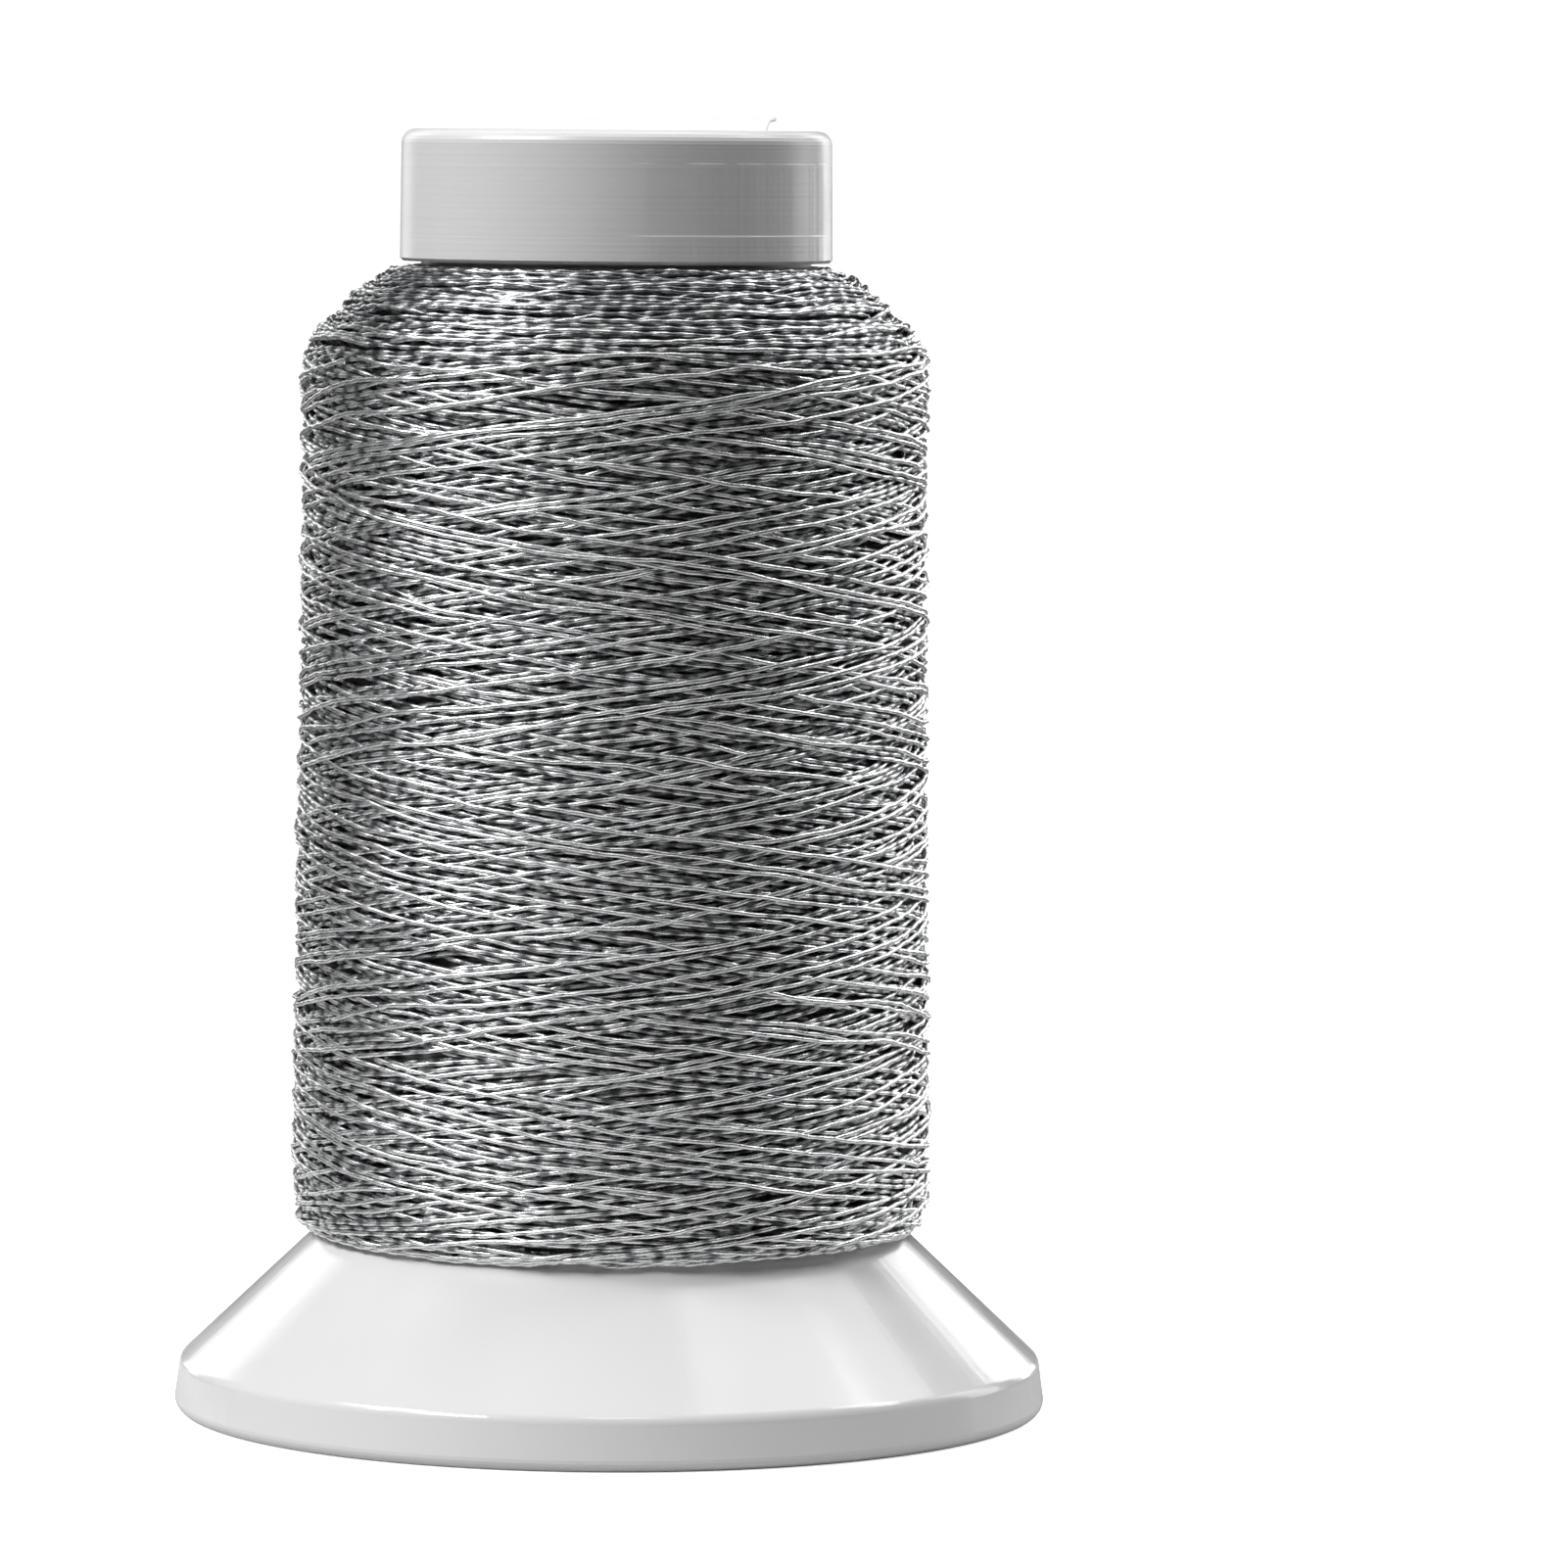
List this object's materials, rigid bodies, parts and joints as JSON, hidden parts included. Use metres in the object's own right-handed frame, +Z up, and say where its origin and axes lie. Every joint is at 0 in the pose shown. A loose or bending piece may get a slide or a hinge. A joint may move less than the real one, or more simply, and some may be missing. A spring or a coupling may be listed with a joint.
{
  "type": "footed thread spool",
  "caption": "Full sewing or embroidery thread spool: thread wound on a barrel with a wide conical foot and a lift-up cap that traps the thread's end.",
  "frame": {"origin": "centre of the plane that the foot stands on", "axes": "+Z up along the spool's axis, from the foot to the cap"},
  "size_m": [0.0701, 0.07, 0.1028],
  "materials": {
    "barrel_plastic": "natural white moulded polypropylene, satin",
    "foot_plastic": "white moulded polypropylene, soft gloss with faint mould lines down the cone",
    "cap_plastic": "white moulded polypropylene, satin with faint turned rings",
    "label_paper": "blank coated white paper",
    "reflective_thread": "two-ply twist of dark grey yarn and bright silver-grey reflective film"
  },
  "bodies": {
    "spool": {"barrel": "barrel_plastic", "foot": "foot_plastic", "thread_package": "reflective_thread"},
    "cap": {"snap_cap": "cap_plastic", "top_label": "label_paper"}
  },
  "joints": [
    {"name": "cap_lift", "type": "slide", "parent": "spool", "child": "cap", "axis": [0, 0, 1], "range_m": [0, 0.0035]}
  ]
}
